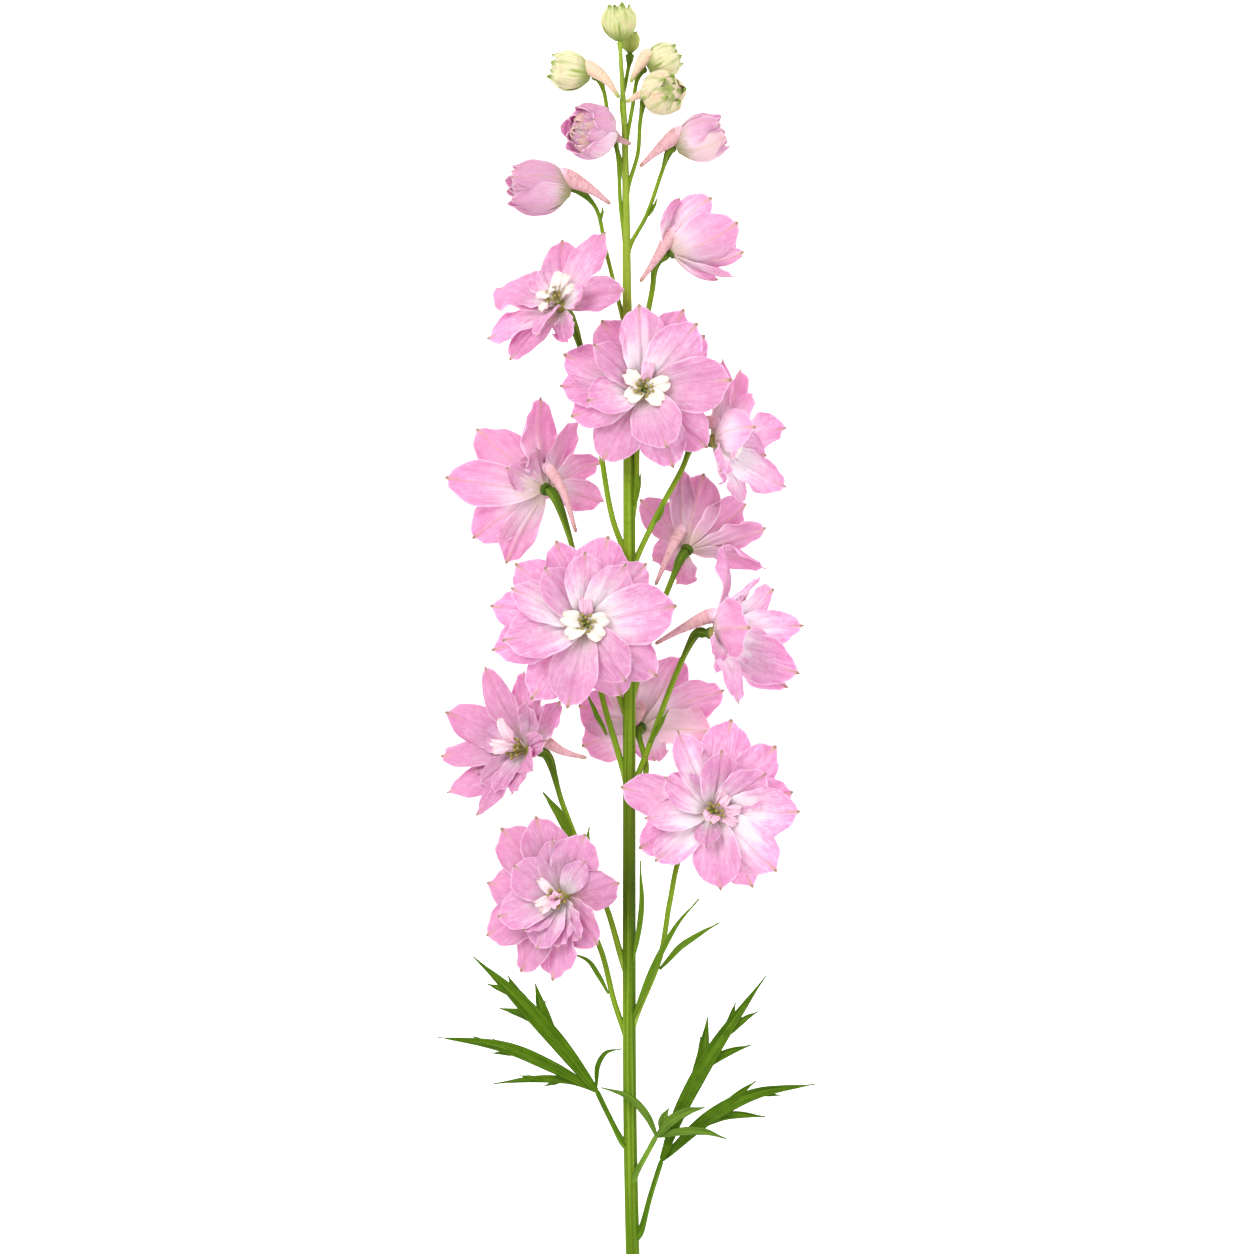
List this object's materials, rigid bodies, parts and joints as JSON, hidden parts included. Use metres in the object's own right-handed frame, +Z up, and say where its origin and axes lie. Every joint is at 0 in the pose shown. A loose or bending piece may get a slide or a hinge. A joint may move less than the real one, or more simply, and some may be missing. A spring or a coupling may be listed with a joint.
{
  "type": "larkspur flower",
  "caption": "Cut larkspur stem lying on a surface: a tapering spire of double pink blooms, spurred buds at the tip and a few divided leaves near the cut end.",
  "frame": {"origin": "middle of the base of the whole flower's box, on the surface it lies on", "axes": "+Y along the stem from the cut end to the tip, +Z up, +X to the right with the tip pointing away"},
  "size_m": [0.0914, 0.3208, 0.0452],
  "materials": {
    "stem_green": "satin",
    "leaf_green": "satin",
    "petal_pink": "matte",
    "heart_cream": "matte",
    "bud_pale": "matte",
    "bud_pink": "matte"
  },
  "bodies": {
    "root": {"stem": "stem_green", "leaf_left": "leaf_green", "leaf_right": "leaf_green", "leaf_front": "leaf_green", "bloom_01_petals": "petal_pink", "bloom_01_centre": "heart_cream", "bloom_02_petals": "petal_pink", "bloom_02_centre": "heart_cream", "bloom_03_petals": "petal_pink", "bloom_03_centre": "heart_cream", "bloom_04_petals": "petal_pink", "bloom_04_centre": "heart_cream", "bloom_05_petals": "petal_pink", "bloom_05_centre": "heart_cream", "bloom_06_petals": "petal_pink", "bloom_06_centre": "heart_cream", "bloom_07_petals": "petal_pink", "bloom_07_centre": "heart_cream", "bloom_08_petals": "petal_pink", "bloom_08_centre": "heart_cream", "bloom_09_petals": "petal_pink", "bloom_09_centre": "heart_cream", "bloom_10_petals": "petal_pink", "bloom_10_centre": "heart_cream", "bloom_11_petals": "petal_pink", "bloom_11_centre": "heart_cream", "bud_1": "bud_pale", "bud_2": "bud_pale", "bud_3": "bud_pale", "bud_4": "bud_pale", "bud_5": "bud_pale", "bud_6": "bud_pink", "bud_7": "bud_pink", "bud_8": "bud_pink", "bud_9": "bud_pink"}
  },
  "joints": []
}
